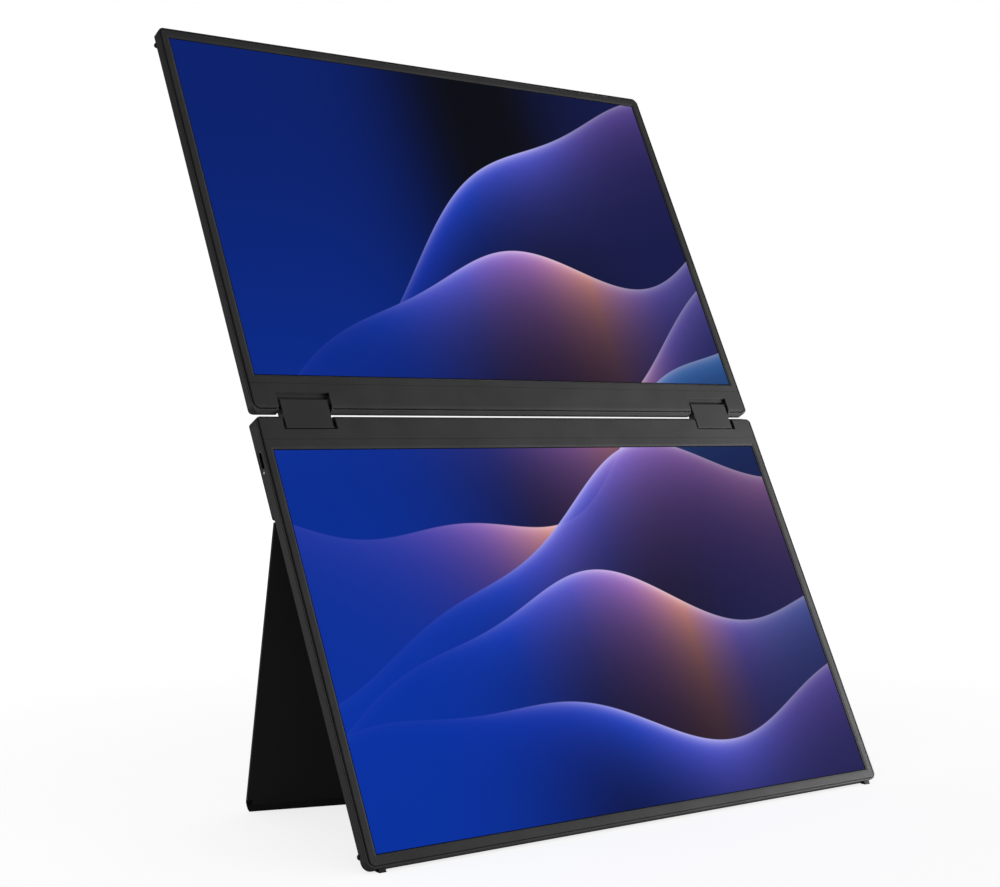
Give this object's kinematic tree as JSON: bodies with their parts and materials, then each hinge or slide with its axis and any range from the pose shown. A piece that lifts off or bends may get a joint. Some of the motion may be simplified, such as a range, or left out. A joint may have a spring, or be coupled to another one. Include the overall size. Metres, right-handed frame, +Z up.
{
  "type": "foldable portable monitor",
  "caption": "Foldable portable monitor: an upper and a lower screen joined by geared two-axis hinges, standing on rubber feet and a slanted kickstand.",
  "frame": {"origin": "on the table, at the middle of the object's footprint box", "axes": "+Z up, +X to the viewer's right, the screens face -Y and lean back towards +Y"},
  "size_m": [0.3136, 0.1976, 0.3848],
  "materials": {
    "housing": "fine matte moulded grain",
    "cover_glass": "clear glossy cover glass",
    "display": "lit display panel",
    "plate_metal": "bare sheet",
    "circuit_board": "solder mask",
    "stand_metal": "black matte coating",
    "link_metal": "black matte coating",
    "rubber": "matte",
    "button": "fine matte",
    "switch": "moulded",
    "light_pipe": "frosted",
    "socket_steel": "plated",
    "hinge_steel": "ground"
  },
  "bodies": {
    "lower_panel": {"lower_back_cover": "housing", "lower_bezel_frame": "housing", "lower_chin_cover": "housing", "lower_cover_glass": "cover_glass", "lower_oled_panel": "display", "lower_support_plate": "plate_metal", "lower_hinge_bracket_left": "hinge_steel", "lower_hinge_bracket_right": "hinge_steel", "lower_hinge_shaft_left": "hinge_steel", "lower_hinge_shaft_right": "hinge_steel", "lower_hinge_washers": "hinge_steel", "main_board": "circuit_board", "usb_c_port_left": "socket_steel", "usb_c_port_right": "socket_steel", "mini_hdmi_port": "socket_steel", "status_led": "light_pipe", "button_switches": "switch", "rubber_feet": "rubber", "lower_rubber_bumpers": "rubber", "lower_screws": "hinge_steel", "stand_hinge_block_left": "hinge_steel", "stand_hinge_block_right": "hinge_steel"},
    "hinge_links": {"hinge_link_left": "link_metal", "hinge_link_cap_left": "link_metal", "hinge_link_right": "link_metal", "hinge_link_cap_right": "link_metal"},
    "upper_panel": {"upper_back_cover": "housing", "upper_bezel_frame": "housing", "upper_chin_cover": "housing", "upper_cover_glass": "cover_glass", "upper_oled_panel": "display", "upper_support_plate": "plate_metal", "upper_hinge_bracket_left": "hinge_steel", "upper_hinge_bracket_right": "hinge_steel", "upper_hinge_shaft_left": "hinge_steel", "upper_hinge_shaft_right": "hinge_steel", "upper_hinge_washers": "hinge_steel", "upper_driver_board": "circuit_board", "upper_rubber_bumpers": "rubber", "upper_screws": "hinge_steel"},
    "kickstand": {"kickstand_plate": "stand_metal", "kickstand_foot_strip": "rubber", "kickstand_pins": "hinge_steel"},
    "power_button": {"power_button": "button"},
    "menu_button": {"menu_button": "button"},
    "lower_idler_gear_left": {"lower_idler_gear_left": "hinge_steel"},
    "upper_idler_gear_left": {"upper_idler_gear_left": "hinge_steel"},
    "lower_idler_gear_right": {"lower_idler_gear_right": "hinge_steel"},
    "upper_idler_gear_right": {"upper_idler_gear_right": "hinge_steel"}
  },
  "joints": [
    {"name": "fold_lower", "type": "hinge", "parent": "lower_panel", "child": "hinge_links", "pos_m": [0, -0.00201, 0.18758], "axis": [1, 0, 0], "range_deg": [-60, 90]},
    {"name": "fold_upper", "type": "hinge", "parent": "hinge_links", "child": "upper_panel", "pos_m": [0, 0.00187, 0.19525], "axis": [1, 0, 0], "range_deg": [-60, 90]},
    {"name": "stand_swing", "type": "hinge", "parent": "lower_panel", "child": "kickstand", "pos_m": [-0.1565, -0.02048, 0.14212], "axis": [0.9397, -0.1542, -0.3053], "range_deg": [-56.52, 0]},
    {"name": "lower_idler_left_turn", "type": "hinge", "parent": "hinge_links", "child": "lower_idler_gear_left", "pos_m": [-0.1285, -0.00071, 0.19013], "axis": [1, 0, 0], "range_deg": [-60, 90]},
    {"name": "upper_idler_left_turn", "type": "hinge", "parent": "hinge_links", "child": "upper_idler_gear_left", "pos_m": [-0.1285, 0.00058, 0.19269], "axis": [1, 0, 0], "range_deg": [-90, 60]},
    {"name": "lower_idler_right_turn", "type": "hinge", "parent": "hinge_links", "child": "lower_idler_gear_right", "pos_m": [0.1285, -0.00071, 0.19013], "axis": [1, 0, 0], "range_deg": [-60, 90]},
    {"name": "upper_idler_right_turn", "type": "hinge", "parent": "hinge_links", "child": "upper_idler_gear_right", "pos_m": [0.1285, 0.00058, 0.19269], "axis": [1, 0, 0], "range_deg": [-90, 60]},
    {"name": "power_button_press", "type": "slide", "parent": "lower_panel", "child": "power_button", "axis": [-1, 0, 0], "range_m": [0, 0.0005], "stiffness_N_per_m": 600},
    {"name": "menu_button_press", "type": "slide", "parent": "lower_panel", "child": "menu_button", "axis": [-1, 0, 0], "range_m": [0, 0.0005], "stiffness_N_per_m": 600}
  ],
  "couplings": [
    {"joint": "fold_upper", "follows": "fold_lower", "ratio": 1},
    {"joint": "lower_idler_left_turn", "follows": "fold_lower", "ratio": 1},
    {"joint": "upper_idler_left_turn", "follows": "fold_lower", "ratio": -1},
    {"joint": "lower_idler_right_turn", "follows": "fold_lower", "ratio": 1},
    {"joint": "upper_idler_right_turn", "follows": "fold_lower", "ratio": -1}
  ]
}
